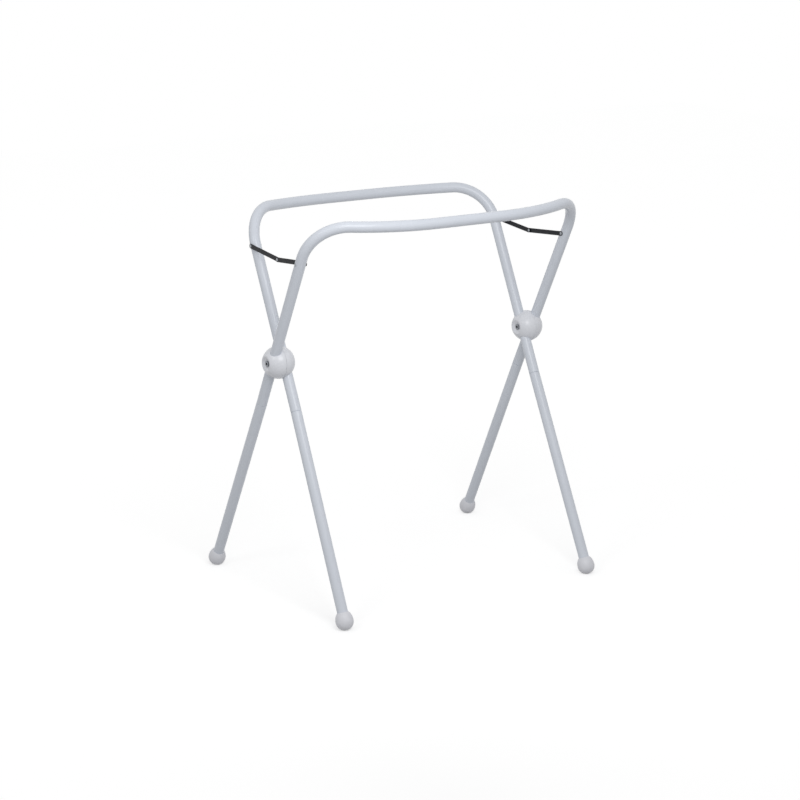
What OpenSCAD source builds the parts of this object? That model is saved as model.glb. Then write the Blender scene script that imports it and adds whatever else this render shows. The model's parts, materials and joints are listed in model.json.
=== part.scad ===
// Folding stand for a baby bath: two bent tube frames that cross at a ball hub at each end.
// The inner frame carries the back rail and the outer frame carries the front rail.
// X runs along the rails, Y from front to back and Z up; the floor is z = 0.

/* [Tube] */
// Outside diameter of the frame tube
tube_d = 25; // [22:0.5:28]
// Wall thickness of the frame tube
tube_wall = 1; // [0.8:0.1:2]

/* [Hubs] */
// Height of the folding axis above the floor
hub_height = 559; // [480:1:640]
// Distance between the middle planes of the two hubs
hub_span = 704; // [600:1:800]
// Diameter of the ball made by the two half-balls of a hub
ball_d = 75.5; // [72:0.5:84]
// Gap between the two half-balls
ball_gap = 0.8; // [0.6:0.1:1.4]
// Diameter of the flat on the pole of each half-ball
pole_flat_d = 36; // [30:1:40]
// Wall thickness of the half-balls
ball_wall = 3; // [2:0.5:4]

/* [Legs] */
// Angle between each leg and the vertical when the stand is open
leg_tilt = 26.35; // [20:0.05:30]
// Distance from the hub down the leg to the joint of the lower leg
joint_drop = 118; // [80:1:180]
// Length of the reduced end that plugs into the frame tube
spigot_len = 36; // [20:1:60]
// Angle by which the lower legs of the outer frame spread along X
outer_toe_out = 0.85; // [0:0.05:2]
// Angle by which the lower legs of the inner frame spread along X
inner_toe_out = 0.7; // [0:0.05:2]

/* [Feet] */
// Diameter of the ball foot
foot_d = 41; // [36:0.5:50]
// Height of the middle of the ball foot above the floor
foot_height = 19; // [17:0.5:20]

/* [Rails] */
// Length of leg from the hub up to the corner bend of the inner frame
inner_leg_rise = 276; // [276:1:320]
// Length of leg from the hub up to the corner bend of the outer frame
outer_leg_rise = 290.5; // [276:0.5:340]
// Centre line radius of the bend between leg and rail
corner_r = 100; // [80:1:120]
// Centre line radius of the bow at each end of the rail
bow_r = 500; // [350:5:600]
// Angle through which each end of the rail bows inwards
bow_angle = 23.5; // [5:0.5:26]
// Upward lean of the plane that the rail bows in
bow_rise = 5.5; // [0:0.5:10]

/* [Stays] */
// Distance from the hub up the leg to the rivet of a stay link
stay_rise = 276; // [200:1:276]
// Depth of the knee of the stay below its two leg rivets
knee_sag = 11; // [6:1:30]
// Width of a stay link
link_w = 9.5; // [8:0.5:14]
// Thickness of a stay link
link_t = 1.5; // [1:0.1:1.6]
// Diameter of the rivets
rivet_d = 4; // [3:0.5:5]

/* [Pivots] */
// Outside diameter of the sleeve of the pivot nut
sleeve_d = 9; // [8:0.5:10]
// Diameter of the pivot bolt
bolt_d = 6; // [5:0.5:6]
// Diameter of the heads of the pivot bolt and nut
head_d = 13; // [11:0.5:14]
// Diameter of the recess that a pivot head sits in
recess_d = 16; // [15:0.5:17]
// Depth of that recess below the pole
recess_depth = 5; // [4:0.1:5.5]
// Depth of the sloped dish that leads from the flat of the pole down to the recess
dish_depth = 4; // [2:0.1:4]

/* [Hidden] */
$fn = 96;

// Clearances: running fit on the diameter, side play of a link, gap between the two links
// of a stay, fit of the plugged legs and the seam at their joint
run_fit = 0.1;
side_play = 0.15;
link_gap = 0.5;
plug_fit = 0.3;
seam_gap = 0.5;
// How far a cutting shape reaches past the face that it cuts
cut = 1;
// The two tubes of a hub leave room for both stay links
tube_gap = 2 * (link_t + side_play) + link_gap;
link_face = tube_gap / 2 - side_play;
tube_off = (tube_d + tube_gap) / 2;
tube_id = tube_d - 2 * tube_wall;

hub_x = hub_span / 2;
ball_r = ball_d / 2;
pole_x = sqrt(pow(ball_r, 2) - pow(pole_flat_d / 2, 2));
boss_wall = 3;
boss_d = recess_d + 2 * boss_wall;
dish_rim = 1.5;
tube_sleeve_wall = 2;

// A lower leg's reduced end starts at a solid shoulder and the foot takes its other end
shoulder = 6;
foot_r = foot_d / 2;
foot_lip = 14;
foot_socket = 4;

head_h = 2.6;
hex_af = 6;
hex_depth = 2;
washer_d = boss_d - 1;
washer_play = 0.1;
sleeve_short = 0.3;
sleeve_len = pole_x - recess_depth + tube_off + tube_d / 2 - sleeve_short;
sleeve_floor = 2;
bolt_reach = 12;

rivet_head_d = 7.5;
rivet_head_h = 1.4;
burr_d = 7;
burr_h = 1;

// Stay geometry in the plane of the hub: rivet on the leg, knee on the middle plane
rivet_y = stay_rise * sin(leg_tilt);
rivet_z = stay_rise * cos(leg_tilt);
link_len = norm([rivet_y, knee_sag]);
link_slope = atan2(knee_sag, rivet_y);

// A frame is inner (back = 1) or outer (back = -1); back is also the side of its rail in Y.
inner = 1;
outer = -1;

function unit(v) = v / norm(v);
// Direction up the leg of a frame
function leg_up(back) = [0, back * sin(leg_tilt), cos(leg_tilt)];
// X of the leg of a frame on the right-hand side
function leg_x(back) = hub_x - back * tube_off;
function hub_point(back) = [leg_x(back), 0, hub_height];
function leg_rise(back) = back == inner ? inner_leg_rise : outer_leg_rise;
function toe_out(back) = back == inner ? inner_toe_out : outer_toe_out;
// Direction of the rail where it leaves the right-hand corner, towards the middle
function rail_in(back) = [
    -cos(bow_angle),
    back * sin(bow_angle) * cos(bow_rise),
    -sin(bow_angle) * sin(bow_rise)
];
// A bend starts at p in direction a and turns by an angle towards n, its unit side vector
function bend_side(a, b) = unit(b - (a * b) * a);
function bend_angle(a, b) = acos(a * b);
function bend_end(p, a, n, angle, r) = p + r * sin(angle) * a + r * (1 - cos(angle)) * n;
function end_side(a, n, angle) = cos(angle) * n - sin(angle) * a;

function corner_start(back) = hub_point(back) + leg_rise(back) * leg_up(back);
function corner_side(back) = bend_side(leg_up(back), rail_in(back));
function corner_angle(back) = bend_angle(leg_up(back), rail_in(back));
function bow_start(back) =
    bend_end(corner_start(back), leg_up(back), corner_side(back), corner_angle(back), corner_r);
function bow_side(back) = bend_side(rail_in(back), [-1, 0, 0]);
function rail_end(back) =
    bend_end(bow_start(back), rail_in(back), bow_side(back), bow_angle, bow_r);
// A local frame runs along the tube: +Y is the way it goes and a bend turns it towards +X.
// Twist about +Y from the bow's frame to the corner's, going from the middle of the rail out.
function bow_twist(back) =
    let (way = -rail_in(back),
        bow_x = -end_side(rail_in(back), -bow_side(back), 0),
        x = unit(bow_x - (bow_x * way) * way),
        down = -leg_up(back),
        corner_x = unit(down - (down * way) * way))
    atan2(-corner_x * cross(x, way), corner_x * x);

// Section of the frame tube, turned so that pieces match
module tube_section(turn) {
    rotate(turn)
        difference() {
            circle(d = tube_d, $fn = 32);
            circle(d = tube_id, $fn = 32);
        }
}

// Straight piece of tube, with what follows it at its end
module tube_straight(len, turn) {
    rotate([-90, 0, 0])
        linear_extrude(len)
            tube_section(180 - turn);
    translate([0, len, 0])
        children();
}

// Bend of the tube, with what follows it at its end
module tube_bend(r, angle, turn) {
    wide = r + tube_d;
    translate([r, 0, 0]) {
        intersection() {
            rotate_extrude()
                translate([r, 0])
                    tube_section(turn);
            translate([-wide, 0, -tube_d])
                cube([wide, wide, 2 * tube_d]);
            rotate([0, 0, -angle])
                translate([-wide, -wide, -tube_d])
                    cube([wide, wide, 2 * tube_d]);
        }
        rotate([0, 0, -angle])
            translate([-r, 0, 0])
                children();
    }
}

// Both sides of a frame, made from its right-hand side
module both_sides() {
    children();
    mirror([1, 0, 0])
        children();
}

module on_side(side) {
    if (side > 0)
        children();
    else
        mirror([1, 0, 0])
            children();
}

// Hub frame of one side: origin on the folding axis in the middle plane, +X away from the stand
module at_hub() {
    translate([hub_x, 0, hub_height])
        children();
}

// Turns its children, made with the leg along +Z, to the tilt of a frame
module tilted(back) {
    rotate([-back * leg_tilt, 0, 0])
        children();
}

module x_cylinder(d, x0, x1) {
    translate([x0, 0, 0])
        rotate([0, 90, 0])
            cylinder(d = d, h = x1 - x0);
}

// Places its children in the local frame of the tube at the middle of the rail
module at_rail_middle(back) {
    end = rail_end(back);
    multmatrix([
        [0, 1, 0, 0],
        [-back * cos(bow_rise), 0, sin(bow_rise), end[1]],
        [sin(bow_rise), 0, back * cos(bow_rise), end[2]],
        [0, 0, 0, 1]
    ])
        children();
}

// One bent tube: rail, two corners and the upper parts of both legs
module frame_tube(back) {
    twist = bow_twist(back);
    reach = tube_off + tube_d;
    difference() {
        both_sides()
            at_rail_middle(back)
                tube_straight(rail_end(back)[0], twist)
                    tube_bend(bow_r, bow_angle, twist)
                        rotate([0, twist, 0])
                            tube_bend(corner_r, corner_angle(back), 0)
                                tube_straight(leg_rise(back) + joint_drop, 0);
        both_sides()
            at_hub() {
                x_cylinder(sleeve_d + run_fit, -reach, reach);
                tilted(back)
                    translate([0, 0, stay_rise])
                        x_cylinder(rivet_d + run_fit, -reach, reach);
            }
    }
}

// Places its children at the joint of a lower leg, with +Z up along the spread leg
module at_joint(back) {
    translate(hub_point(back) - joint_drop * leg_up(back))
        tilted(back)
            rotate([0, -toe_out(back), 0])
                children();
}

// Length of a lower leg's axis from the joint to the middle of the foot
function lower_len(back) =
    (hub_height - joint_drop * cos(leg_tilt) - foot_height) / (cos(leg_tilt) * cos(toe_out(back)));

// Lower leg: tube with a closed shoulder and a reduced spigot that plugs into the frame tube
module lower_leg(back) {
    plug_d = tube_id - plug_fit;
    len = lower_len(back) + foot_socket;
    at_joint(back) {
        difference() {
            translate([0, 0, -len])
                cylinder(d = tube_d, h = len - seam_gap);
            translate([0, 0, -len - cut])
                cylinder(d = tube_id, h = len + cut - seam_gap - shoulder);
        }
        rotate([0, toe_out(back), 0])
            translate([0, 0, -shoulder / 2])
                cylinder(d = plug_d, h = shoulder / 2 + spigot_len);
    }
}

// Ball foot pushed onto the end of the lower leg, flat where it stands on the floor
module foot(back) {
    intersection() {
        at_joint(back)
            translate([0, 0, -lower_len(back)])
                difference() {
                    sphere(r = foot_r);
                    translate([0, 0, foot_lip])
                        cylinder(r = foot_r, h = foot_r);
                    translate([0, 0, -foot_socket])
                        cylinder(d = tube_d, h = foot_r + foot_socket);
                }
        translate([0, -hub_height, 0])
            cube([hub_span, 2 * hub_height, foot_d * 2]);
    }
}

// Turns its profile, drawn with radius as X and distance along the axis as Y, about the X axis
module about_x() {
    rotate([0, 90, 0])
        rotate_extrude()
            children();
}

// Half-ball on the +X side of the hub's middle plane, with the tube along Z at tube_off
module half_ball_shape() {
    face = ball_gap / 2;
    inside_r = ball_r - ball_wall;
    roof = pole_x - ball_wall - dish_depth / 2;
    dish_r = pole_flat_d / 2 - dish_rim;
    dish_bottom = pole_x - dish_depth;
    difference() {
        about_x()
            difference() {
                intersection() {
                    circle(r = ball_r);
                    translate([(sleeve_d + run_fit) / 2, face])
                        square([ball_r, pole_x - face]);
                }
                translate([0, pole_x - recess_depth])
                    square([recess_d / 2, recess_depth + cut]);
                polygon([
                    [0, dish_bottom],
                    [recess_d / 2, dish_bottom],
                    [dish_r, pole_x],
                    [dish_r, pole_x + cut],
                    [0, pole_x + cut]
                ]);
            }
        difference() {
            about_x()
                intersection() {
                    circle(r = inside_r);
                    translate([boss_d / 2, -cut])
                        square([inside_r, roof + cut]);
                }
            translate([tube_off, 0, -ball_d])
                cylinder(d = tube_d + 2 * tube_sleeve_wall, h = 2 * ball_d);
        }
        translate([tube_off, 0, -ball_d])
            cylinder(d = tube_d, h = 2 * ball_d);
    }
}

module half_ball(back) {
    at_hub()
        tilted(back)
            on_side(-back)
                half_ball_shape();
}

module hex_socket(x0, x1) {
    translate([x0, 0, 0])
        rotate([0, 90, 0])
            cylinder(d = hex_af / cos(30), h = x1 - x0, $fn = 6);
}

// Sleeve nut: head in the inner pole, sleeve through both tubes
module pivot_sleeve_nut() {
    seat = -(pole_x - recess_depth);
    at_hub()
        difference() {
            union() {
                x_cylinder(head_d, seat - head_h, seat);
                x_cylinder(sleeve_d, seat, seat + sleeve_len);
            }
            x_cylinder(bolt_d + run_fit, seat + sleeve_floor, seat + sleeve_len + cut);
            hex_socket(seat - head_h - cut, seat - head_h + hex_depth);
        }
}

// Bolt: head in the outer pole, shank screwed into the sleeve nut
module pivot_bolt() {
    seat = pole_x - recess_depth + washer_play;
    at_hub()
        difference() {
            union() {
                x_cylinder(head_d, seat, seat + head_h);
                x_cylinder(bolt_d, -bolt_reach, seat);
            }
            hex_socket(seat + head_h - hex_depth, seat + head_h + cut);
        }
}

// Thin washer between the bosses of the two half-balls
module hub_washer() {
    half = ball_gap / 2 - washer_play;
    at_hub()
        difference() {
            x_cylinder(washer_d, -half, half);
            x_cylinder(sleeve_d + run_fit, -half - cut, half + cut);
        }
}

// Stay link of a frame in the hub frame; its flat side faces the tube that it is riveted to
module stay_link(back) {
    x0 = back == inner ? -link_face : link_face - link_t;
    at_hub()
        translate([x0, back * rivet_y, rivet_z])
            rotate([back * link_slope, 0, 0])
                rotate([0, 90, 0])
                    linear_extrude(link_t)
                        difference() {
                            union() {
                                circle(d = link_w);
                                translate([0, -back * link_len])
                                    circle(d = link_w);
                                translate([-link_w / 2, back == inner ? -link_len : 0])
                                    square([link_w, link_len]);
                            }
                            circle(d = rivet_d + run_fit);
                            translate([0, -back * link_len])
                                circle(d = rivet_d + run_fit);
                        }
}

// Domed rivet head on the plane x = 0, rising towards +X, on a skirt that reaches below the plane
module rivet_head(d, h, skirt) {
    ball = (pow(d / 2, 2) + pow(h, 2)) / (2 * h);
    about_x()
        union() {
            intersection() {
                translate([0, h - ball])
                    circle(r = ball);
                square([d, h]);
            }
            if (skirt > 0)
                translate([0, -skirt])
                    square([d / 2, skirt]);
        }
}

// Rivet through the tube and its stay link, made on the outer frame and mirrored for the inner
module stay_rivet(back) {
    clinch = link_gap / 2;
    rim = 0.3;
    saddle = 1;
    at_hub()
        tilted(back)
            translate([0, 0, stay_rise])
                on_side(-back) {
                    x_cylinder(rivet_d, clinch, tube_off + (tube_d + rivet_head_h) / 2);
                    translate([clinch, 0, 0])
                        mirror([1, 0, 0])
                            rivet_head(rivet_head_d, rivet_head_h, 0);
                    difference() {
                        translate([tube_off + tube_d / 2 + rim, 0, 0])
                            rivet_head(rivet_head_d, rivet_head_h - rim, saddle + rim);
                        translate([tube_off, 0, -tube_d])
                            cylinder(d = tube_d, h = 2 * tube_d);
                    }
                }
}

module at_knee() {
    at_hub()
        translate([0, 0, rivet_z - knee_sag])
            children();
}

// Knee rivet, carried by the link of the inner frame; its head faces the inner tube
module knee_rivet() {
    at_knee() {
        x_cylinder(rivet_d, -link_face, -link_gap / 4);
        translate([-link_face, 0, 0])
            mirror([1, 0, 0])
                rivet_head(burr_d, burr_h, 0);
    }
}

// Closed end of the knee rivet, carried by the link of the outer frame
module knee_burr() {
    at_knee() {
        x_cylinder(rivet_d, link_gap / 4, link_face);
        translate([link_face, 0, 0])
            rivet_head(burr_d, burr_h, 0);
    }
}

powder_white = "#E8EAF2";
plastic_white = "#E4E4E6";
link_black = "#23252D";
zinc = "#B9BEC4";
dark_steel = "#4A4C52";

module inner_frame_tube() { color(powder_white) frame_tube(inner); }
module outer_frame_tube() { color(powder_white) frame_tube(outer); }
module inner_leg(side) { color(powder_white) on_side(side) lower_leg(inner); }
module outer_leg(side) { color(powder_white) on_side(side) lower_leg(outer); }
module inner_foot(side) { color(plastic_white) on_side(side) foot(inner); }
module outer_foot(side) { color(plastic_white) on_side(side) foot(outer); }
module inner_half_ball(side) { color(plastic_white) on_side(side) half_ball(inner); }
module outer_half_ball(side) { color(plastic_white) on_side(side) half_ball(outer); }
module sleeve_nut(side) { color(dark_steel) on_side(side) pivot_sleeve_nut(); }
module bolt(side) { color(dark_steel) on_side(side) pivot_bolt(); }
module washer(side) { color(plastic_white) on_side(side) hub_washer(); }
module inner_stay_link(side) { color(link_black) on_side(side) stay_link(inner); }
module outer_stay_link(side) { color(link_black) on_side(side) stay_link(outer); }
module inner_stay_rivet(side) { color(zinc) on_side(side) stay_rivet(inner); }
module outer_stay_rivet(side) { color(zinc) on_side(side) stay_rivet(outer); }
module knee_rivet_piece(side) { color(zinc) on_side(side) knee_rivet(); }
module knee_burr_piece(side) { color(zinc) on_side(side) knee_burr(); }

left = -1;
right = 1;

inner_frame_tube();
outer_frame_tube();
inner_leg(left);  // inner_leg_left
inner_leg(right);  // inner_leg_right
outer_leg(left);  // outer_leg_left
outer_leg(right);  // outer_leg_right
inner_foot(left);  // inner_foot_left
inner_foot(right);  // inner_foot_right
outer_foot(left);  // outer_foot_left
outer_foot(right);  // outer_foot_right
inner_half_ball(left);  // inner_half_ball_left
inner_half_ball(right);  // inner_half_ball_right
outer_half_ball(left);  // outer_half_ball_left
outer_half_ball(right);  // outer_half_ball_right
sleeve_nut(left);  // pivot_sleeve_nut_left
sleeve_nut(right);  // pivot_sleeve_nut_right
bolt(left);  // pivot_bolt_left
bolt(right);  // pivot_bolt_right
washer(left);  // hub_washer_left
washer(right);  // hub_washer_right
inner_stay_link(left);  // inner_stay_link_left
inner_stay_link(right);  // inner_stay_link_right
outer_stay_link(left);  // outer_stay_link_left
outer_stay_link(right);  // outer_stay_link_right
inner_stay_rivet(left);  // inner_stay_rivet_left
inner_stay_rivet(right);  // inner_stay_rivet_right
outer_stay_rivet(left);  // outer_stay_rivet_left
outer_stay_rivet(right);  // outer_stay_rivet_right
knee_rivet_piece(left);  // knee_rivet_left
knee_rivet_piece(right);  // knee_rivet_right
knee_burr_piece(left);  // knee_burr_left
knee_burr_piece(right);  // knee_burr_right
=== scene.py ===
"""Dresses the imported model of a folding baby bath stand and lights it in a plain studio.

Smooth tubes are bent along the centre lines of the two frames, the hubs and feet are moulded
with soft edges, the stays are cut from flat bar, and every piece gets its own finish.
X runs along the rails, Y from front to back and Z up. Lengths are in metres.
"""

import json
from math import atan2, ceil, cos, pi, radians, sin

import bmesh
import bpy
import numpy as np
from bpy.props import FloatProperty, FloatVectorProperty, IntProperty, PointerProperty
from bpy.types import Operator, Panel, PropertyGroup
from mathutils import Matrix, Vector


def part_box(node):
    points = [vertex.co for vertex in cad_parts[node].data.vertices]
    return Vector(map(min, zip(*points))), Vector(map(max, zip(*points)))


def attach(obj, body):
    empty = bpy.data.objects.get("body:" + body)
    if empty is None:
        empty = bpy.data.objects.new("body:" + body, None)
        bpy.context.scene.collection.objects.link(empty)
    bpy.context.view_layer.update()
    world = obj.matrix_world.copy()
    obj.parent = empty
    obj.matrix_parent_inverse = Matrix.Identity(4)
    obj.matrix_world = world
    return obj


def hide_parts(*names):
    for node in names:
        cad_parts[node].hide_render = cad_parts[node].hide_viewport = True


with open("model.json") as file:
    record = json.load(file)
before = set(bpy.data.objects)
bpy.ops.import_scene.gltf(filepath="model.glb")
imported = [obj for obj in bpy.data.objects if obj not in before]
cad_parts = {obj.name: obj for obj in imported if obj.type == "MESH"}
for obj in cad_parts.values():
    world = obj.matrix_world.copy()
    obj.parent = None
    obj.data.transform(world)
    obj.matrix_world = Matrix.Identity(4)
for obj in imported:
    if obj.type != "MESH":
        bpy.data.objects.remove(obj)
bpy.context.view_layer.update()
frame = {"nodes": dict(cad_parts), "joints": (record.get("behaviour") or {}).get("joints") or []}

bl_info = {
    "name": "Baby Bath Stand",
    "version": (1, 0, 0),
    "blender": (4, 5, 0),
    "location": "View3D > Sidebar > Bath Stand",
    "description": "Dresses a folding baby bath stand of bent tube, ball hubs and jointed stays",
    "category": "Add Mesh",
}

MM = 0.001
UP = Vector((0, 0, 1))

# Direction along a rail, from the right-hand end to the left
TO_LEFT = Vector((-1, 0, 0))

# Steps of the arcs that round a tube's lip, a bar's sheared edge and a bar's end
LIP_STEPS = 4
EDGE_STEPS = 3
BAR_END_STEPS = 24

# Depth by which a moulding laps into the tube it holds, so that no slit shows between them
LAP = 0.1 * MM

# How a CAD node is softened: points this close are one, and edges sharper than this are broken
WELD = 0.001 * MM
SHARP_ANGLE = radians(35)
BEVEL_STEPS = 3
RIVET_EDGE = 0.15 * MM
PIVOT_EDGE = 0.3 * MM
WASHER_EDGE = 0.1 * MM

# How far a piece's box may be from its CAD node's; the feet are drawn out further up the leg
PLAY = 1 * MM
HUB_PLAY = 2 * MM
FOOT_PLAY = 7 * MM

# The floor lies this far under the feet, so that it doesn't share their plane
FLOOR_DROP = 0.1 * MM

# A moulding's points are settled on its surface, evened, and settled again, in so many passes
FIRST_PASSES = 3
EVENING_PASSES = 3
LAST_PASSES = 4

# Which side a piece is on along X, and on which side in Y a frame's rail is
SIDES = {"left": -1, "right": 1}
BACK = {"inner": 1, "outer": -1}

# Places that the frame gives: the folding axis, the hubs and the rivets of the stays
joint_place = {joint["name"]: Vector(joint["pos_m"]) for joint in frame["joints"]}
hub_x = joint_place["inner_stay_right_pivot"].x
hub_height = joint_place["fold"].z
stay_rise = joint_place["inner_stay_right_pivot"] - Vector((hub_x, 0, hub_height))
leg_tilt = atan2(stay_rise.y, stay_rise.z)

# Distance from the middle of a hub out to the face of a pivot head
pivot_face = hub_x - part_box("pivot_sleeve_nut_right")[0].x


def linear(hex_colour):
    """Linear red, green, blue and alpha of an sRGB hex colour."""
    channels = [int(hex_colour[i : i + 2], 16) / 255 for i in (1, 3, 5)]
    return [c / 12.92 if c <= 0.04045 else ((c + 0.055) / 1.055) ** 2.4 for c in channels] + [1.0]


def length(name, description, millimetres):
    """A size that the user can change, given in millimetres and kept in metres."""
    return FloatProperty(
        name=name, description=description, default=millimetres * MM, min=0, precision=4, unit="LENGTH"
    )


def angle(name, description, degrees):
    """An angle that the user can change, given in degrees."""
    return FloatProperty(
        name=name, description=description, default=radians(degrees), precision=2, unit="ROTATION"
    )


def place(name, description, metres):
    """A point that the user can move."""
    return FloatVectorProperty(
        name=name, description=description, default=metres, unit="LENGTH", subtype="TRANSLATION"
    )


def colour(name, description, hex_colour):
    """A colour that the user can change."""
    return FloatVectorProperty(
        name=name,
        description=description,
        default=linear(hex_colour),
        size=4,
        min=0,
        max=1,
        subtype="COLOR",
    )


def plain(name, description, value):
    """A bare number that the user can change."""
    return FloatProperty(name=name, description=description, default=value, min=0)


class TubeSizes(PropertyGroup):
    """The steel tube, and the two frames bent from it."""

    diameter: length("Diameter", "Outside diameter of the tube", 25)
    wall: length("Wall", "Wall thickness of the tube", 1)
    off_middle: length("Off middle", "Distance of a tube's axis from the middle plane of its hub", 14.4)
    joint_drop: length("Joint drop", "Distance from the hub down the leg to its joint", 118)
    inner_rise: length("Inner rise", "Leg from the hub up to the inner frame's corner bend", 276)
    outer_rise: length("Outer rise", "Leg from the hub up to the outer frame's corner bend", 290.5)
    corner_radius: length("Corner radius", "Radius of the bend between leg and rail", 100)
    bow_radius: length("Bow radius", "Radius of the bow at each end of a rail", 500)
    bow_angle: angle("Bow angle", "Angle through which each end of a rail bows", 23.5)
    bow_rise: angle("Bow rise", "Upward lean of the plane that a rail bows in", 5.5)
    inner_toe_out: angle("Inner toe-out", "Spread of the inner frame's lower legs", 0.7)
    outer_toe_out: angle("Outer toe-out", "Spread of the outer frame's lower legs", 0.85)
    spigot: length("Spigot", "Length of a lower leg's reduced end", 36)
    plug_fit: length("Plug fit", "Clearance of the reduced end on its diameter", 0.3)
    seam: length("Seam", "Gap at the joint of a lower leg", 0.5)
    lip: length("Lip", "Rounding of a cut end under its powder coat", 0.8)
    straight_step: length("Straight step", "Distance between rings on a straight", 24)
    bend_step: length("Bend step", "Distance between rings on a bend", 3)
    facets: IntProperty(name="Facets", description="Faces round the tube", default=64, min=12)


class HubSizes(PropertyGroup):
    """The ball that two half-balls make round the crossing tubes."""

    diameter: length("Diameter", "Diameter of the ball", 75.5)
    gap: length("Gap", "Gap between the two half-balls", 0.3)
    pole_diameter: length("Pole", "Diameter of the flat on a pole", 36)
    dish_diameter: length("Dish", "Diameter of the sloped dish in that flat", 33)
    dish_depth: length("Dish depth", "Depth of the dish where it meets the recess", 4)
    recess_diameter: length("Recess", "Diameter of the recess for a pivot head", 16)
    recess_depth: length("Recess depth", "Depth of that recess below the flat", 5)
    edge: length("Edge", "Rounding of the moulded edges", 0.7)
    seam_edge: length("Seam edge", "Rounding where the two half-balls face each other", 0.3)
    cell: length("Cell", "Size of the faces", 0.65)


class FootSizes(PropertyGroup):
    """The ball foot pushed onto a lower leg."""

    diameter: length("Diameter", "Diameter of the ball", 41)
    height: length("Height", "Height of the ball's middle above the floor", 19)
    shoulder: length("Shoulder", "Height to which the ball is drawn out above its middle", 27)
    lip: length("Lip", "Distance from the ball's middle up to the rim round the leg", 20)
    socket: length("Socket", "Depth of the socket below the ball's middle", 4)
    edge: length("Edge", "Rounding of the rim", 0.8)
    cell: length("Cell", "Size of the faces", 0.85)


class StaySizes(PropertyGroup):
    """The flat bar of the folding stays."""

    width: length("Width", "Width of the bar", 10.8)
    edge: length("Edge", "Rounding of the sheared edges", 0.3)


class FinishColours(PropertyGroup):
    """Colours of the finishes."""

    powder_coat: colour("Powder coat", "Coat of the tubes", "#DADFE8")
    hub_plastic: colour("Hub plastic", "Moulded half-balls", "#E3E5EB")
    foot_plastic: colour("Foot plastic", "Moulded feet", "#E0E1E7")
    stay_black: colour("Stay black", "Stove enamel of the stays", "#0F1219")
    zinc: colour("Zinc", "Plated rivets", "#A3A7AC")
    oxide: colour("Rubbed oxide", "Faces of the pivot bolts and nuts", "#999CA2")
    # Socket colour: partly the black oxide's own colour, partly painted shade deep in the hex sockets
    socket: colour("Socket", "Black oxide deep in the hex sockets", "#26282C")
    nylon: colour("Nylon", "Hub washers", "#E3E0D8")
    floor: colour("Floor", "Studio floor", "#CACACA")


class StudioSettings(PropertyGroup):
    """Camera and light of the studio."""

    lens: plain("Lens", "Focal length in millimetres on a 36 mm sensor", 91.83)
    eye: place("Eye", "Place of the camera", (-2.61473, -3.88211, 1.6746))
    yaw: angle("Yaw", "Turn of the camera from the back direction towards +X", 33.754)
    pitch: angle("Pitch", "Angle by which the camera looks down", 15.004)
    roll: angle("Roll", "Turn of the camera about its line of sight", 0.401)
    key_power: plain("Key power", "Power of the softbox in front of the stand, in watts", 12.8)
    key_place: place("Key place", "Middle of that softbox", (-0.6, -1.4, 1.75))
    side_power: plain("Side power", "Power of the softbox to the left of the stand, in watts", 6.8)
    side_place: place("Side place", "Middle of that softbox", (-2.4, -0.8, 2.4))
    softbox_aim: place("Softbox aim", "Point that both softboxes face", (0, 0, 0.8))
    softbox_size: length("Softbox size", "Side of a softbox", 900)
    sky: plain("Sky", "Strength of the even light from all round", 0.515)
    glow_middle: place("Glow middle", "Point of the floor that the softboxes light most", (-0.64, -1.12, 0))
    near_glow: plain("Near glow", "What the camera sees of the floor there besides its lit colour", 0.48)
    far_glow: plain("Far glow", "The same, out of the softboxes' reach", 0.692)
    glow_reach: length("Glow reach", "Distance at which the far glow is reached", 4250)
    floor_side: length("Floor side", "Side of the studio floor", 14000)


def settings(name):
    """One group of the add-on's settings, such as tube or hub."""
    return getattr(bpy.context.scene, "bath_stand_" + name)


# Materials


def add_node(tree, kind, inputs=None, **options):
    """Adds a node, sets its options, and sets or links its inputs."""
    node = tree.nodes.new(kind)
    for name, value in options.items():
        setattr(node, name, value)
    for socket, value in (inputs or {}).items():
        if isinstance(value, bpy.types.NodeSocket):
            tree.links.new(value, node.inputs[socket])
        else:
            node.inputs[socket].default_value = value
    return node


# Sockets of Blender's Mix node when it mixes colours
MIX_A, MIX_B, MIX_OUT = 6, 7, 2


def toned(tree, base, where, darker, spacing):
    """Colour that drifts between base and a darker tone, over patches of the given size."""
    patches = add_node(
        tree,
        "ShaderNodeTexNoise",
        {"Vector": where, "Scale": 1 / spacing, "Detail": 3.0, "Roughness": 0.55},
    )
    dark = [channel * (1 - darker) for channel in base[:3]] + [1.0]
    mix = add_node(
        tree,
        "ShaderNodeMix",
        {"Factor": patches.outputs["Fac"], MIX_A: dark, MIX_B: list(base)},
        data_type="RGBA",
    )
    return mix.outputs[MIX_OUT]


def grained(tree, where, spacing, depth):
    """Bump of a noise with grains of the given spacing and depth."""
    grain = add_node(
        tree,
        "ShaderNodeTexNoise",
        {"Vector": where, "Scale": 1 / spacing, "Detail": 2.0, "Roughness": 0.5},
    )
    bump = add_node(
        tree,
        "ShaderNodeBump",
        {"Height": grain.outputs["Fac"], "Strength": 1.0, "Distance": depth},
    )
    return bump.outputs["Normal"]


def rubbed(tree, where, spacing, low, high):
    """Roughness that wanders from low to high, as a surface that hands and cloths have rubbed."""
    noise = add_node(
        tree,
        "ShaderNodeTexNoise",
        {"Vector": where, "Scale": 1 / spacing, "Detail": 4.0, "Roughness": 0.6},
    )
    spread = add_node(
        tree,
        "ShaderNodeMapRange",
        {"Value": noise.outputs["Fac"], "From Min": 0.3, "From Max": 0.7, "To Min": low, "To Max": high},
    )
    return spread.outputs["Result"]


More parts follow.
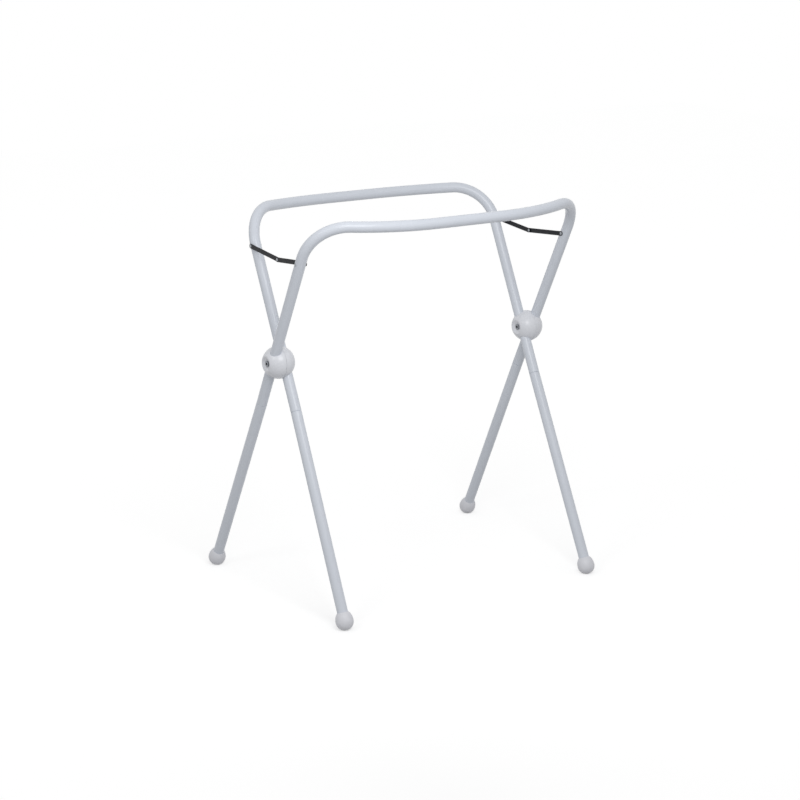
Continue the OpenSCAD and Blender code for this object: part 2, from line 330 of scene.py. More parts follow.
def seen_plainly(tree):
    """1 where the camera sees a surface, directly, in gloss or through glass, and otherwise 0."""
    path = add_node(tree, "ShaderNodeLightPath")
    seen = path.outputs["Is Camera Ray"]
    for kind in ("Is Glossy Ray", "Is Transmission Ray"):
        either = add_node(tree, "ShaderNodeMath", {0: seen, 1: path.outputs[kind]}, operation="MAXIMUM")
        seen = either.outputs["Value"]
    return seen


def start_material(name):
    """A new material's node tree with its shader, and the coordinates of the piece at rest."""
    material = bpy.data.materials.new(name)
    material.use_nodes = True
    tree = material.node_tree
    where = add_node(tree, "ShaderNodeTexCoord").outputs["Object"]
    return material, tree, tree.nodes["Principled BSDF"], where


def powder_coated_steel():
    """White polyester powder coat on steel tube, sprayed and baked.

    The eye sees a cool, even white with a broad soft shine and the faint swell of orange peel.
    Orange peel has waves of about 1.5 mm; they are drawn at 3 mm so that they show at all.
    """
    material, tree, shader, where = start_material("powder_coated_steel_white")
    tone = toned(tree, settings("colours").powder_coat, where, darker=0.05, spacing=90 * MM)
    tree.links.new(tone, shader.inputs["Base Color"])
    gloss = rubbed(tree, where, spacing=45 * MM, low=0.22, high=0.31)
    tree.links.new(gloss, shader.inputs["Roughness"])
    grain = grained(tree, where, spacing=3 * MM, depth=0.004 * MM)
    tree.links.new(grain, shader.inputs["Normal"])
    shader.inputs["IOR"].default_value = 1.5
    shader.inputs["Specular IOR Level"].default_value = 0.4
    return material


def moulded_polypropylene():
    """White polypropylene from a polished mould.

    The eye sees a smooth, faintly blue white with a clearer shine than the tube.
    """
    material, tree, shader, where = start_material("moulded_polypropylene_white")
    tone = toned(tree, settings("colours").hub_plastic, where, darker=0.04, spacing=30 * MM)
    tree.links.new(tone, shader.inputs["Base Color"])
    gloss = rubbed(tree, where, spacing=14 * MM, low=0.22, high=0.32)
    tree.links.new(gloss, shader.inputs["Roughness"])
    grain = grained(tree, where, spacing=2 * MM, depth=0.01 * MM)
    tree.links.new(grain, shader.inputs["Normal"])
    shader.inputs["IOR"].default_value = 1.49
    return material


def moulded_soft_vinyl():
    """White soft PVC of the feet, moulded and then scuffed by floors.

    The eye sees a duller white than the hubs, greyer towards the floor.
    """
    material, tree, shader, where = start_material("moulded_soft_vinyl_white")
    base = settings("colours").foot_plastic
    scuff_size, scuff_height = 6 * MM, 14 * MM
    worn_below, clean_above = 6 * MM, 18 * MM
    worn_tone = 0.9
    height = add_node(tree, "ShaderNodeSeparateXYZ", {"Vector": where}).outputs["Z"]
    scuffs = add_node(
        tree,
        "ShaderNodeTexNoise",
        {"Vector": where, "Scale": 1 / scuff_size, "Detail": 5.0, "Roughness": 0.65},
    )
    edge = add_node(
        tree,
        "ShaderNodeMath",
        {0: scuffs.outputs["Fac"], 1: scuff_height, 2: height},
        operation="MULTIPLY_ADD",
    )
    worn = add_node(
        tree,
        "ShaderNodeMapRange",
        {
            "Value": edge.outputs["Value"],
            "From Min": worn_below,
            "From Max": clean_above,
            "To Min": 1.0,
            "To Max": 0.0,
        },
    )
    grime = [channel * worn_tone for channel in base[:3]] + [1.0]
    clean = toned(tree, base, where, darker=0.04, spacing=20 * MM)
    mix = add_node(
        tree,
        "ShaderNodeMix",
        {"Factor": worn.outputs["Result"], MIX_A: clean, MIX_B: grime},
        data_type="RGBA",
    )
    tree.links.new(mix.outputs[MIX_OUT], shader.inputs["Base Color"])
    gloss = rubbed(tree, where, spacing=8 * MM, low=0.36, high=0.5)
    tree.links.new(gloss, shader.inputs["Roughness"])
    grain = grained(tree, where, spacing=1.5 * MM, depth=0.02 * MM)
    tree.links.new(grain, shader.inputs["Normal"])
    shader.inputs["IOR"].default_value = 1.53
    return material


def stove_enamelled_bar():
    """Flat mild steel bar under black stove enamel.

    The eye sees a near-black, faintly blue bar with a low shine and the ripple of dipped enamel.
    """
    material, tree, shader, where = start_material("stove_enamelled_bar_black")
    tone = toned(tree, settings("colours").stay_black, where, darker=0.35, spacing=12 * MM)
    tree.links.new(tone, shader.inputs["Base Color"])
    gloss = rubbed(tree, where, spacing=5 * MM, low=0.3, high=0.5)
    tree.links.new(gloss, shader.inputs["Roughness"])
    grain = grained(tree, where, spacing=2.5 * MM, depth=0.03 * MM)
    tree.links.new(grain, shader.inputs["Normal"])
    shader.inputs["IOR"].default_value = 1.5
    shader.inputs["Specular IOR Level"].default_value = 0.2
    return material


def zinc_plated_steel():
    """Bright zinc plate on cold-headed rivets.

    The eye sees a light grey metal with the mottled, slightly milky look of thin zinc.
    """
    material, tree, shader, where = start_material("zinc_plated_steel_rivet")
    tone = toned(tree, settings("colours").zinc, where, darker=0.18, spacing=2 * MM)
    tree.links.new(tone, shader.inputs["Base Color"])
    gloss = rubbed(tree, where, spacing=1.2 * MM, low=0.28, high=0.46)
    tree.links.new(gloss, shader.inputs["Roughness"])
    grain = grained(tree, where, spacing=0.8 * MM, depth=0.01 * MM)
    tree.links.new(grain, shader.inputs["Normal"])
    shader.inputs["Metallic"].default_value = 1.0
    return material


def black_oxide_steel():
    """Black oxide on machined pivot bolts and sleeve nuts, rubbed on the faces.

    The eye sees a grey metal face round a hex socket coloured near-black: partly the oxide's own black,
    partly painted shade deep in the socket.
    """
    material, tree, shader, where = start_material("black_oxide_steel_pivot")
    colours = settings("colours")
    face = toned(tree, colours.oxide, where, darker=0.3, spacing=3 * MM)
    # Painted shade: inside the hex socket the colour is the near-black socket colour, which stands for the
    # oxide's black and for the shade deep in the socket
    socket_mouth, socket_reach = pivot_face - 0.3 * MM, 3.8 * MM
    offset = add_node(tree, "ShaderNodeVectorMath", {0: where, 1: (0, 0, hub_height)}, operation="SUBTRACT")
    beside = add_node(
        tree,
        "ShaderNodeVectorMath",
        {0: offset.outputs["Vector"], 1: (0, 1, 1)},
        operation="MULTIPLY",
    )
    off_axis = add_node(tree, "ShaderNodeVectorMath", {0: beside.outputs["Vector"]}, operation="LENGTH")
    across = add_node(tree, "ShaderNodeSeparateXYZ", {"Vector": where}).outputs["X"]
    from_stand = add_node(tree, "ShaderNodeMath", {0: across}, operation="ABSOLUTE").outputs["Value"]
    past_hub = add_node(tree, "ShaderNodeMath", {0: from_stand, 1: hub_x}, operation="SUBTRACT")
    from_hub = add_node(tree, "ShaderNodeMath", {0: past_hub.outputs["Value"]}, operation="ABSOLUTE")
    below_face = add_node(
        tree,
        "ShaderNodeMath",
        {0: from_hub.outputs["Value"], 1: socket_mouth},
        operation="LESS_THAN",
    )
    near_axis = add_node(
        tree,
        "ShaderNodeMath",
        {0: off_axis.outputs["Value"], 1: socket_reach},
        operation="LESS_THAN",
    )
    painted_socket_shade = add_node(
        tree,
        "ShaderNodeMath",
        {0: below_face.outputs["Value"], 1: near_axis.outputs["Value"]},
        operation="MULTIPLY",
    )
    mix = add_node(
        tree,
        "ShaderNodeMix",
        {"Factor": painted_socket_shade.outputs["Value"], MIX_A: face, MIX_B: list(colours.socket)},
        data_type="RGBA",
    )
    tree.links.new(mix.outputs[MIX_OUT], shader.inputs["Base Color"])
    gloss = rubbed(tree, where, spacing=2 * MM, low=0.35, high=0.5)
    tree.links.new(gloss, shader.inputs["Roughness"])
    grain = grained(tree, where, spacing=1 * MM, depth=0.01 * MM)
    tree.links.new(grain, shader.inputs["Normal"])
    shader.inputs["Metallic"].default_value = 1.0
    return material


def natural_nylon():
    """Natural nylon washers, punched from sheet.

    The eye sees a matt cream disc, where it sees one at all in the gap of a hub.
    """
    material, tree, shader, where = start_material("natural_nylon_washer")
    tone = toned(tree, settings("colours").nylon, where, darker=0.05, spacing=6 * MM)
    tree.links.new(tone, shader.inputs["Base Color"])
    gloss = rubbed(tree, where, spacing=3 * MM, low=0.5, high=0.6)
    tree.links.new(gloss, shader.inputs["Roughness"])
    shader.inputs["IOR"].default_value = 1.53
    return material


# Meshes


def straight_on(line, distance, step):
    """Extends a line, which is a list of points with their directions, straight on."""
    start, way = line[-1]
    count = ceil(distance / step)
    line += [(start + way * distance * i / count, way) for i in range(1, count + 1)]


def bend_towards(line, towards, radius, step):
    """Extends a line by an arc that turns it to the direction towards."""
    start, way = line[-1]
    turn = way.angle(towards)
    side = (towards - towards.dot(way) * way).normalized()
    count = ceil(turn * radius / step)
    for i in range(1, count + 1):
        a = turn * i / count
        point = start + radius * (sin(a) * way + (1 - cos(a)) * side)
        line.append((point, cos(a) * way + sin(a) * side))


def skin(name, rings, facets):
    """Closed mesh through rings, each a centre, a direction and a radius, with flat end caps."""
    mesh = bmesh.new()
    loops = []
    across = rings[0][1].orthogonal().normalized()
    before = rings[0][1]
    for centre, way, radius in rings:
        across = before.rotation_difference(way) @ across
        across = (across - across.dot(way) * way).normalized()
        beside = way.cross(across)
        before = way
        turns = [2 * pi * i / facets for i in range(facets)]
        loops.append([mesh.verts.new(centre + radius * (cos(t) * across + sin(t) * beside)) for t in turns])
    for low, high in zip(loops, loops[1:]):
        for i in range(facets):
            j = (i + 1) % facets
            mesh.faces.new((low[i], low[j], high[j], high[i])).smooth = True
    mesh.faces.new(list(reversed(loops[0])))
    mesh.faces.new(loops[-1])
    bmesh.ops.recalc_face_normals(mesh, faces=mesh.faces)
    return add_piece(name, mesh)


def add_piece(name, mesh):
    """Object with the given bmesh, linked to the scene."""
    data = bpy.data.meshes.new(name)
    mesh.to_mesh(data)
    mesh.free()
    piece = bpy.data.objects.new(name, data)
    bpy.context.scene.collection.objects.link(piece)
    return piece


def rounded_both(a, b, radius):
    """Distance field of what lies within both a and b, with the edge between them rounded."""
    corner = np.hypot(np.maximum(a + radius, 0), np.maximum(b + radius, 0))
    return np.minimum(np.maximum(a, b), -radius) + corner


def steepest(field, points, reach=0.01 * MM):
    """Gradient of a field at points."""
    steps = reach * np.eye(3)
    return np.stack([(field(points + s) - field(points - s)) / (2 * reach) for s in steps], axis=-1)


def settle(field, points, passes):
    """Moves points onto the surface where the field is zero."""
    for _ in range(passes):
        slope = steepest(field, points)
        points = points - field(points)[:, None] * slope / (slope**2).sum(-1, keepdims=True)
    return points


def moulded(name, field, low, high, cell):
    """Closed mesh of the surface where the field is zero, with even faces and exact normals."""
    margin = 1.5 * cell
    axes = [np.arange(a - margin, b + margin + cell, cell) for a, b in zip(low, high)]
    nodes = np.stack(np.meshgrid(*axes, indexing="ij"), axis=-1)
    value = field(nodes)
    inside = value < 0
    cells = tuple(n - 1 for n in value.shape)
    total = np.zeros(cells + (3,))
    count = np.zeros(cells)
    walls = []
    for axis in range(3):
        other = [a for a in range(3) if a != axis]
        near = [slice(None)] * 3
        far = [slice(None)] * 3
        near[axis] = slice(None, -1)
        far[axis] = slice(1, None)
        start, end = value[tuple(near)], value[tuple(far)]
        crossing = inside[tuple(near)] != inside[tuple(far)]
        at = np.argwhere(crossing)
        share = start[crossing] / (start[crossing] - end[crossing])
        point = nodes[tuple(near)][crossing].copy()
        point[:, axis] += share * cell
        around = []
        for back in ((0, 0), (1, 0), (1, 1), (0, 1)):
            owner = at.copy()
            owner[:, other[0]] -= back[0]
            owner[:, other[1]] -= back[1]
            np.add.at(total, tuple(owner.T), point)
            np.add.at(count, tuple(owner.T), 1)
            around.append(owner)
        walls.append(np.stack(around, axis=1))
    used = count > 0
    number = np.full(cells, -1)
    number[used] = np.arange(used.sum())
    points = settle(field, total[used] / count[used][:, None], FIRST_PASSES)
    quads = np.concatenate([number[tuple(np.moveaxis(wall, -1, 0))] for wall in walls])
    points = evened(points, quads, EVENING_PASSES)
    points = settle(field, points, LAST_PASSES)
    centre = points[quads].mean(axis=1)
    diagonals = points[quads[:, 2]] - points[quads[:, 0]], points[quads[:, 3]] - points[quads[:, 1]]
    turned = (np.cross(*diagonals) * steepest(field, centre)).sum(-1) < 0
    quads[turned] = quads[turned][:, ::-1]
    data = bpy.data.meshes.new(name)
    data.from_pydata(points.tolist(), [], quads.tolist())
    data.polygons.foreach_set("use_smooth", [True] * len(data.polygons))
    normals = steepest(field, points)
    normals /= np.linalg.norm(normals, axis=-1, keepdims=True)
    data.normals_split_custom_set_from_vertices(normals.tolist())
    piece = bpy.data.objects.new(name, data)
    bpy.context.scene.collection.objects.link(piece)
    return piece


def evened(points, quads, passes):
    """Moves each point halfway to the middle of its neighbours, so that the faces are even."""
    for _ in range(passes):
        total = np.zeros_like(points)
        count = np.zeros(len(points))
        for a, b in ((0, 1), (1, 2), (2, 3), (3, 0)):
            for end, start in ((a, b), (b, a)):
                np.add.at(total, quads[:, end], points[quads[:, start]])
                np.add.at(count, quads[:, end], 1)
        points = (points + total / count[:, None]) / 2
    return points


# Places on the stand


def leg_up(kind):
    """Direction up the leg of a frame."""
    return Vector((0, BACK[kind] * sin(leg_tilt), cos(leg_tilt)))


def hub_middle(side):
    """Middle of a hub, on the folding axis."""
    return Vector((SIDES[side] * hub_x, 0, hub_height))


def joint_point(kind, side):
    """Where a lower leg joins the frame tube."""
    tube = settings("tube")
    off_middle = BACK[kind] * SIDES[side] * tube.off_middle * TO_LEFT
    return hub_middle(side) + off_middle - tube.joint_drop * leg_up(kind)


def lower_way(kind, side):
    """Direction down a lower leg, which spreads a little along X."""
    toe_out = getattr(settings("tube"), kind + "_toe_out")
    return (-cos(toe_out) * leg_up(kind) - SIDES[side] * sin(toe_out) * TO_LEFT).normalized()


def foot_middle(kind, side):
    """Middle of a ball foot, on the axis of its lower leg."""
    start, way = joint_point(kind, side), lower_way(kind, side)
    return start + way * (start.z - settings("foot").height) / -way.z


def finish_piece(piece, body, slot, material, *nodes):
    """Gives a piece its material and body, and lets it stand for CAD nodes."""
    piece.data.materials.append(material)
    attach(piece, body)
    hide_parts(*nodes)


def check_place(piece, node, play=PLAY):
    """Stops the script when a piece isn't where the CAD node is that it stands for."""
    low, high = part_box(node)
    corners = [Vector(corner) for corner in piece.bound_box]
    for axis in range(3):
        ends = [corner[axis] for corner in corners]
        off = max(abs(min(ends) - low[axis]), abs(max(ends) - high[axis]))
        if off > play:
            raise RuntimeError(f"{piece.name} is {off / MM:.1f} mm off the place of {node}")


# Operators


def rounded_lip(tube):
    """Rounded edge of a cut end: distance into the tube and radius, from the end face outwards."""
    outside = tube.diameter / 2
    turns = [pi / 2 * i / LIP_STEPS for i in range(LIP_STEPS + 1)]
    edge = [(tube.lip * (1 - cos(t)), outside - tube.lip * (1 - sin(t))) for t in turns]
    return edge + [(2 * tube.lip, outside)]


class BATHSTAND_OT_bend_frame_tubes(Operator):
    """Bends the two frame tubes, each in one piece with a rail, two corners and two upper legs"""

    bl_idname = "bath_stand.bend_frame_tubes"
    bl_label = "Bend Frame Tubes"

    def execute(self, context):
        tube = settings("tube")
        material = powder_coated_steel()
        for kind in BACK:
            line = self.centre_line(kind, tube)
            bore = tube.diameter / 2 - tube.wall
            end = [(tube.spigot + 2 * tube.wall, bore), (0, bore)] + rounded_lip(tube)
            rings = [(line[0][0] + line[0][1] * s, line[0][1], r) for s, r in end]
            rings += [(point, way, tube.diameter / 2) for point, way in line[1:-1]]
            rings += [(line[-1][0] - line[-1][1] * s, line[-1][1], r) for s, r in reversed(end)]
            node = kind + "_frame_tube"
            piece = skin("bent_" + node, rings, tube.facets)
            finish_piece(piece, kind + "_frame", "frame_paint", material, node)
            check_place(piece, node)
        return {"FINISHED"}

    def centre_line(self, kind, tube):
        """Centre line of a frame tube, from its right-hand lower end over the rail to the left."""
        back = BACK[kind]
        rail_way = Vector(
            (
                -cos(tube.bow_angle),
                back * sin(tube.bow_angle) * cos(tube.bow_rise),
                -sin(tube.bow_angle) * sin(tube.bow_rise),
            )
        )
        line = [(joint_point(kind, "right"), leg_up(kind))]
        straight_on(line, tube.joint_drop + getattr(tube, kind + "_rise"), tube.straight_step)
        bend_towards(line, rail_way, tube.corner_radius, tube.bend_step)
        bend_towards(line, TO_LEFT, tube.bow_radius, tube.bend_step)
        straight_on(line, line[-1][0].x, tube.straight_step)
        mirror = Matrix.Diagonal((-1, 1, 1))
        return line + [(mirror @ point, -(mirror @ way)) for point, way in reversed(line[:-1])]


class BATHSTAND_OT_fit_lower_legs(Operator):
    """Makes the four lower legs, whose reduced ends plug into the frame tubes"""

    bl_idname = "bath_stand.fit_lower_legs"
    bl_label = "Fit Lower Legs"

    def execute(self, context):
        tube, foot = settings("tube"), settings("foot")
        material = bpy.data.materials.get("powder_coated_steel_white") or powder_coated_steel()
        for kind in BACK:
            for side in SIDES:
                node = f"{kind}_leg_{side}"
                piece = skin("drawn_" + node, self.rings(kind, side, tube, foot), tube.facets)
                finish_piece(piece, kind + "_frame", "frame_paint", material, node)
                check_place(piece, node)
        return {"FINISHED"}

    def rings(self, kind, side, tube, foot):
        """Rings from the top of the reduced end down to the end in the foot's socket."""
        start, down = joint_point(kind, side), lower_way(kind, side)
        plug = tube.diameter / 2 - tube.wall - tube.plug_fit / 2
        into = -leg_up(kind)
        chamfer = [(tube.spigot, plug - tube.lip), (tube.spigot - tube.lip, plug), (0, plug)]
        rings = [(start - into * s, into, r) for s, r in chamfer]
        rings += [(start + down * tube.seam, down, plug)]
        rings += [(start + down * (tube.seam + s), down, r) for s, r in rounded_lip(tube)]
        line = [(start + down * (tube.seam + 2 * tube.lip), down)]
        reach = (foot_middle(kind, side) - line[0][0]).length + foot.socket
        straight_on(line, reach, tube.straight_step)
        return rings + [(point, way, tube.diameter / 2) for point, way in line[1:]]


class BATHSTAND_OT_mould_half_balls(Operator):
    """Moulds the four half-balls, two to a hub, each with a bore for its tube and a dished pole"""

    bl_idname = "bath_stand.mould_half_balls"
    bl_label = "Mould Half-balls"

    def execute(self, context):
        hub, tube = settings("hub"), settings("tube")
        material = moulded_polypropylene()
        radius = hub.diameter / 2
        for kind in BACK:
            for side in SIDES:
                middle = np.array(hub_middle(side))
                outward = -BACK[kind] * SIDES[side]
                field = self.field(hub, tube, middle, outward, np.array(leg_up(kind)))
                reach = np.array((radius, radius, radius))
                low, high = middle - reach, middle + reach
                if outward > 0:
                    low[0] = middle[0]
                else:
                    high[0] = middle[0]
                node = f"{kind}_half_ball_{side}"
                piece = moulded("moulded_" + node, field, low, high, hub.cell)
                finish_piece(piece, kind + "_frame", "hub_plastic", material, node)
                check_place(piece, node, HUB_PLAY)
        return {"FINISHED"}

    def field(self, hub, tube, middle, outward, up):
        """Distance field of a half-ball round middle, with its pole towards outward along X."""
        pole = (hub.diameter**2 - hub.pole_diameter**2) ** 0.5 / 2
        dish_slope = atan2(hub.dish_depth, (hub.dish_diameter - hub.recess_diameter) / 2)
        fine = hub.edge / 2

        def field(points):
            offset = points - middle
            out = offset[..., 0] * outward
            off_pivot = np.hypot(offset[..., 1], offset[..., 2])
            beside = np.sqrt(np.maximum((offset[..., 1:] ** 2).sum(-1) - (offset @ up) ** 2, 0))
            ball = np.hypot(out, off_pivot) - hub.diameter / 2
            solid = rounded_both(ball, hub.gap / 2 - out, hub.seam_edge)
            solid = rounded_both(solid, out - pole, hub.edge)
            cone = cos(dish_slope) * (pole - out) + sin(dish_slope) * (off_pivot - hub.dish_diameter / 2)
            dish = rounded_both(cone, pole - hub.dish_depth - out, fine)
            recess = rounded_both(off_pivot - hub.recess_diameter / 2, pole - hub.recess_depth - out, fine)
            bore = np.hypot(out - tube.off_middle, beside) - tube.diameter / 2 + LAP
            solid = rounded_both(solid, -dish, fine)
            solid = rounded_both(solid, -recess, hub.edge)
            return rounded_both(solid, -bore, hub.edge)

        return field


class BATHSTAND_OT_mould_feet(Operator):
    """Moulds the four ball feet, each with a socket for its leg and a flat that rests on the floor"""

    bl_idname = "bath_stand.mould_feet"
    bl_label = "Mould Feet"

    def execute(self, context):
        foot, tube = settings("foot"), settings("tube")
        material = moulded_soft_vinyl()
        for kind in BACK:
            for side in SIDES:
                middle = np.array(foot_middle(kind, side))
                reach = foot.lip + foot.diameter / 4
                field = self.field(foot, tube, middle, -np.array(lower_way(kind, side)))
                node = f"{kind}_foot_{side}"
                low, high = middle - reach, middle + reach
                piece = moulded("moulded_" + node, field, low, high, foot.cell)
                finish_piece(piece, kind + "_frame", "foot_plastic", material, node)
                check_place(piece, node, FOOT_PLAY)
        return {"FINISHED"}

    def field(self, foot, tube, middle, up):
        """Distance field of a foot round middle, on a leg that goes up."""

        def field(points):
            offset = points - middle
            along = offset @ up
            beside = np.sqrt(np.maximum((offset**2).sum(-1) - along**2, 0))
            drawn = np.where(along > 0, foot.diameter / 2 / foot.shoulder, 1) * along
            solid = np.hypot(beside, drawn) - foot.diameter / 2
            solid = rounded_both(solid, along - foot.lip, foot.edge)
            solid = rounded_both(solid, -points[..., 2], foot.edge)
            socket = np.maximum(beside - tube.diameter / 2 + LAP, -foot.socket - along)
            return rounded_both(solid, -socket, foot.edge / 2)

        return field


class BATHSTAND_OT_cut_stay_links(Operator):
    """Cuts the four stay links from flat bar, with round ends and broken edges"""

    bl_idname = "bath_stand.cut_stay_links"
    bl_label = "Cut Stay Links"

    def execute(self, context):
        stay = settings("stay")
        material = stove_enamelled_bar()
        for kind in BACK:
            for side in SIDES:
                body = f"{kind}_stay_{side}"
                node = f"{kind}_stay_link_{side}"
                piece = self.link(node, joint_place[body + "_pivot"], side, stay)
                finish_piece(piece, body, "stay_steel", material, node)
                check_place(piece, node)
        return {"FINISHED"}

    def link(self, node, pivot, side, stay):
        """Flat bar from its leg rivet to the knee, lying in the plane of the hub."""
        low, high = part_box("knee_rivet_" + side)
        knee = (low + high) / 2
        knee.x = pivot.x
        way = (knee - pivot).normalized()
        beside = Vector((1, 0, 0)).cross(way)
        face, back = (corner.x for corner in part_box(node))
        turns = [pi / 2 * i / EDGE_STEPS for i in range(EDGE_STEPS + 1)]
        layers = [(face + stay.edge * (1 - cos(t)), stay.edge * (1 - sin(t))) for t in turns]
        layers += [(back - stay.edge * (1 - cos(t)), stay.edge * (1 - sin(t))) for t in reversed(turns)]
        mesh = bmesh.new()
        loops = []
        for x, inset in layers:
            radius = stay.width / 2 - inset
            loop = []
            for end, start in ((pivot, pi / 2), (knee, -pi / 2)):
                for i in range(BAR_END_STEPS + 1):
                    a = start + pi * i / BAR_END_STEPS
                    point = end + radius * (cos(a) * way + sin(a) * beside)
                    loop.append(mesh.verts.new((x, point.y, point.z)))
            loops.append(loop)
        for one, two in zip(loops, loops[1:]):
            for i in range(len(one)):
                j = (i + 1) % len(one)
                mesh.faces.new((one[i], one[j], two[j], two[i])).smooth = True
        mesh.faces.new(loops[0]).smooth = True
        mesh.faces.new(loops[-1]).smooth = True
        bmesh.ops.recalc_face_normals(mesh, faces=mesh.faces)
        piece = add_piece("flat_bar_" + node, mesh)
        piece.modifiers.new("Even shading", "WEIGHTED_NORMAL")
        return piece


def soften_node(name, edge):
    """Welds a CAD node's faces for show, and breaks its sharp edges; its own mesh stays as it is."""
    node = frame["nodes"][name]
    node.data.polygons.foreach_set("use_smooth", [True] * len(node.data.polygons))
    weld = node.modifiers.new("Weld", "WELD")
    weld.merge_threshold = WELD
    bevel = node.modifiers.new("Broken edges", "BEVEL")
    bevel.width = edge
    bevel.segments = BEVEL_STEPS
    bevel.limit_method = "ANGLE"
    bevel.angle_limit = SHARP_ANGLE
    bevel.harden_normals = True
    return node


def coat_node(node, material):
    """Puts a material in every slot of a CAD node."""
    if not node.material_slots:
        node.data.materials.append(material)
    for slot in node.material_slots:
        slot.material = material


class BATHSTAND_OT_plate_rivets(Operator):
    """Gives the rivets of the stays their zinc plate"""

    bl_idname = "bath_stand.plate_rivets"
    bl_label = "Plate Rivets"

    def execute(self, context):
        material = zinc_plated_steel()
        for side in SIDES:
            for name in ("inner_stay_rivet_", "outer_stay_rivet_", "knee_rivet_", "knee_burr_"):
                coat_node(soften_node(name + side, RIVET_EDGE), material)
        return {"FINISHED"}


class BATHSTAND_OT_blacken_pivots(Operator):
    """Gives the pivot bolts and sleeve nuts their black oxide"""

    bl_idname = "bath_stand.blacken_pivots"
    bl_label = "Blacken Pivots"

    def execute(self, context):
        material = black_oxide_steel()
        for side in SIDES:
            for name in ("pivot_sleeve_nut_", "pivot_bolt_"):
                coat_node(soften_node(name + side, PIVOT_EDGE), material)
        return {"FINISHED"}


class BATHSTAND_OT_fit_washers(Operator):
    """Gives the washers between the half-balls their nylon"""

    bl_idname = "bath_stand.fit_washers"
    bl_label = "Fit Washers"

    def execute(self, context):
        material = natural_nylon()
        for side in SIDES:
            coat_node(soften_node("hub_washer_" + side, WASHER_EDGE), material)
        return {"FINISHED"}


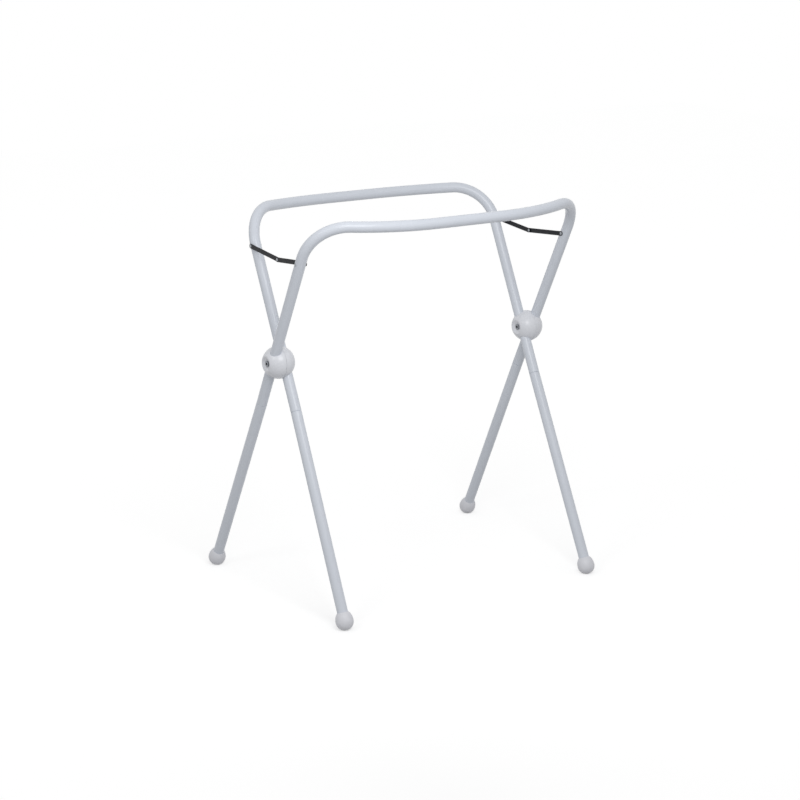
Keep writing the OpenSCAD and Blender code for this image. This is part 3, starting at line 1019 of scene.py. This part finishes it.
class BATHSTAND_OT_set_studio(Operator):
    """Sets the camera, the floor, the two softboxes and the even light of the studio"""

    bl_idname = "bath_stand.set_studio"
    bl_label = "Set Studio"

    def execute(self, context):
        studio = settings("studio")
        self.set_camera(context.scene, studio)
        self.lay_floor(studio)
        self.hang_softbox("front_softbox", studio.key_place, studio.key_power, studio)
        self.hang_softbox("side_softbox", studio.side_place, studio.side_power, studio)
        self.light_world(context.scene, studio)
        context.scene.view_settings.view_transform = "Standard"
        return {"FINISHED"}

    def set_camera(self, scene, studio):
        """Camera with its line of sight turned by yaw, pitch and roll."""
        level = Vector((sin(studio.yaw), cos(studio.yaw), 0))
        right = Vector((cos(studio.yaw), -sin(studio.yaw), 0))
        sight = cos(studio.pitch) * level - sin(studio.pitch) * UP
        upward = right.cross(sight)
        across = cos(studio.roll) * right + sin(studio.roll) * upward
        above = cos(studio.roll) * upward - sin(studio.roll) * right
        data = bpy.data.cameras.new("studio_camera")
        data.sensor_width = 36
        data.lens = studio.lens
        camera = bpy.data.objects.new("studio_camera", data)
        turn = Matrix((across, above, -sight)).transposed().to_4x4()
        camera.matrix_world = Matrix.Translation(studio.eye) @ turn
        scene.collection.objects.link(camera)
        scene.camera = camera

    def lay_floor(self, studio):
        """Pale seamless floor just under the feet."""
        half = studio.floor_side / 2
        mesh = bmesh.new()
        signs = ((-1, -1), (1, -1), (1, 1), (-1, 1))
        corners = [mesh.verts.new((x * half, y * half, -FLOOR_DROP)) for x, y in signs]
        mesh.faces.new(corners)
        floor = add_piece("studio_floor", mesh)
        floor.data.materials.append(self.floor_paper(studio))

    def floor_paper(self, studio):
        """Matt grey paper to light the stand by, which the camera sees as white with a faint shadow."""
        material, tree, shader, where = start_material("background_paper_white")
        paper = toned(tree, settings("colours").floor, where, darker=0.01, spacing=400 * MM)
        tree.links.new(paper, shader.inputs["Base Color"])
        shader.inputs["Roughness"].default_value = 0.9
        shader.inputs["Specular IOR Level"].default_value = 0.0
        away = add_node(tree, "ShaderNodeVectorMath", {0: where, 1: studio.glow_middle}, operation="DISTANCE")
        nearness = add_node(
            tree,
            "ShaderNodeMapRange",
            {"Value": away.outputs["Value"], "From Max": studio.glow_reach, "To Min": 1.0, "To Max": 0.0},
        )
        squared = add_node(tree, "ShaderNodeMath", {0: nearness.outputs["Result"], 1: 2.0}, operation="POWER")
        missing = add_node(
            tree,
            "ShaderNodeMapRange",
            {"Value": squared.outputs["Value"], "To Min": studio.far_glow, "To Max": studio.near_glow},
        ).outputs["Result"]
        strength = add_node(tree, "ShaderNodeMath", {0: seen_plainly(tree), 1: missing}, operation="MULTIPLY")
        glow = add_node(tree, "ShaderNodeEmission", {"Strength": strength.outputs["Value"]})
        both = add_node(tree, "ShaderNodeAddShader", {0: shader.outputs["BSDF"], 1: glow.outputs["Emission"]})
        tree.links.new(both.outputs["Shader"], tree.nodes["Material Output"].inputs["Surface"])
        return material

    def hang_softbox(self, name, middle, power, studio):
        """Square area light that faces the stand."""
        data = bpy.data.lights.new(name, "AREA")
        data.shape = "SQUARE"
        data.size = studio.softbox_size
        data.energy = power
        lamp = bpy.data.objects.new(name, data)
        lamp.location = middle
        away = Vector(middle) - Vector(studio.softbox_aim)
        lamp.rotation_euler = away.to_track_quat("Z", "Y").to_euler()
        bpy.context.scene.collection.objects.link(lamp)

    def light_world(self, scene, studio):
        """Even light from all round, which the camera and every reflection see as plain white."""
        world = bpy.data.worlds.new("studio_world")
        world.use_nodes = True
        tree = world.node_tree
        strength = add_node(tree, "ShaderNodeMapRange", {"Value": seen_plainly(tree), "To Min": studio.sky})
        tree.nodes["Background"].inputs["Color"].default_value = (1, 1, 1, 1)
        tree.links.new(strength.outputs["Result"], tree.nodes["Background"].inputs["Strength"])
        scene.world = world


STEPS = (
    BATHSTAND_OT_bend_frame_tubes,
    BATHSTAND_OT_fit_lower_legs,
    BATHSTAND_OT_mould_half_balls,
    BATHSTAND_OT_mould_feet,
    BATHSTAND_OT_cut_stay_links,
    BATHSTAND_OT_plate_rivets,
    BATHSTAND_OT_blacken_pivots,
    BATHSTAND_OT_fit_washers,
    BATHSTAND_OT_set_studio,
)
GROUPS = {
    "tube": TubeSizes,
    "hub": HubSizes,
    "foot": FootSizes,
    "stay": StaySizes,
    "colours": FinishColours,
    "studio": StudioSettings,
}


class BATHSTAND_PT_sidebar(Panel):
    """Sidebar panel with the steps and the settings of the stand"""

    bl_idname = "BATHSTAND_PT_sidebar"
    bl_label = "Baby Bath Stand"
    bl_space_type = "VIEW_3D"
    bl_region_type = "UI"
    bl_category = "Bath Stand"

    def draw(self, context):
        for step in STEPS:
            self.layout.operator(step.bl_idname)
        for name in GROUPS:
            box = self.layout.box()
            box.label(text=name.capitalize())
            group = settings(name)
            for size in group.bl_rna.properties:
                if not size.is_readonly and size.identifier != "name":
                    box.prop(group, size.identifier)


def register():
    for name, group in GROUPS.items():
        bpy.utils.register_class(group)
        setattr(bpy.types.Scene, "bath_stand_" + name, PointerProperty(type=group))
    for kind in STEPS + (BATHSTAND_PT_sidebar,):
        bpy.utils.register_class(kind)


def unregister():
    for kind in (BATHSTAND_PT_sidebar,) + STEPS[::-1]:
        bpy.utils.unregister_class(kind)
    for name, group in GROUPS.items():
        delattr(bpy.types.Scene, "bath_stand_" + name)
        bpy.utils.unregister_class(group)


def main():
    """Builds the dressed stand."""
    register()
    for step in STEPS:
        group, name = step.bl_idname.split(".")
        getattr(getattr(bpy.ops, group), name)()


if __name__ == "__main__":
    main()
